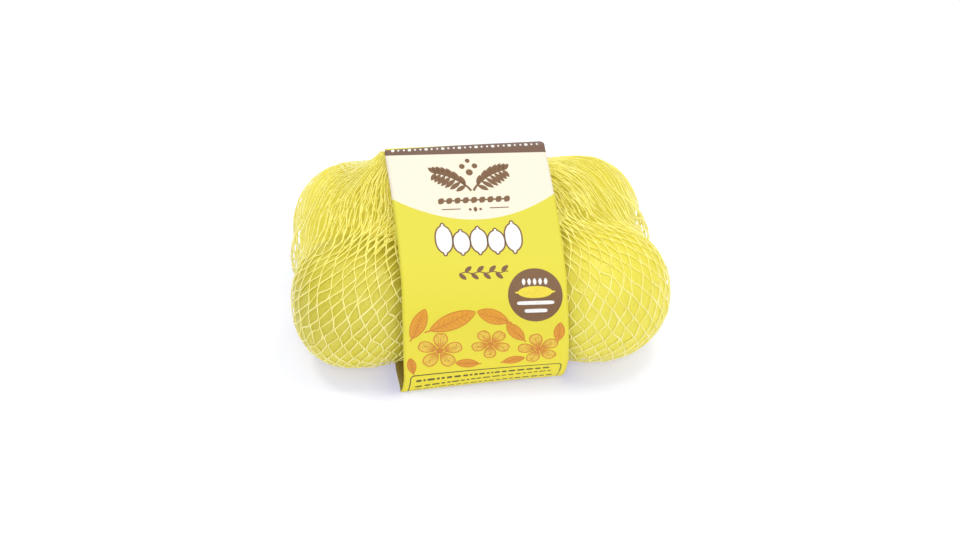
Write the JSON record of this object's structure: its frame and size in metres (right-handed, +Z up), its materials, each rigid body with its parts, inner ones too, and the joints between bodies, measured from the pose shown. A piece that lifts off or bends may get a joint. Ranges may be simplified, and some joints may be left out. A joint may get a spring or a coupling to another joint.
{
  "type": "net of lemons with card sleeve",
  "caption": "Soft yellow mesh bag of lemons lying side by side and end to end, gathered above and below, with a peaked card sleeve wrapped round its middle.",
  "frame": {"origin": "on the surface the pack lies on, under the middle of its footprint", "axes": "+Z up, +X along the length of the lemons towards the pack's right end, -Y towards the sleeve's front panel"},
  "size_m": [0.1652, 0.1226, 0.0863],
  "materials": {
    "fruit_in_net": "semi-gloss yellow mesh over waxy lemon peel",
    "card": "printed coated card, satin"
  },
  "bodies": {
    "root": {"net_bag": "fruit_in_net", "card_sleeve": "card"}
  },
  "joints": []
}
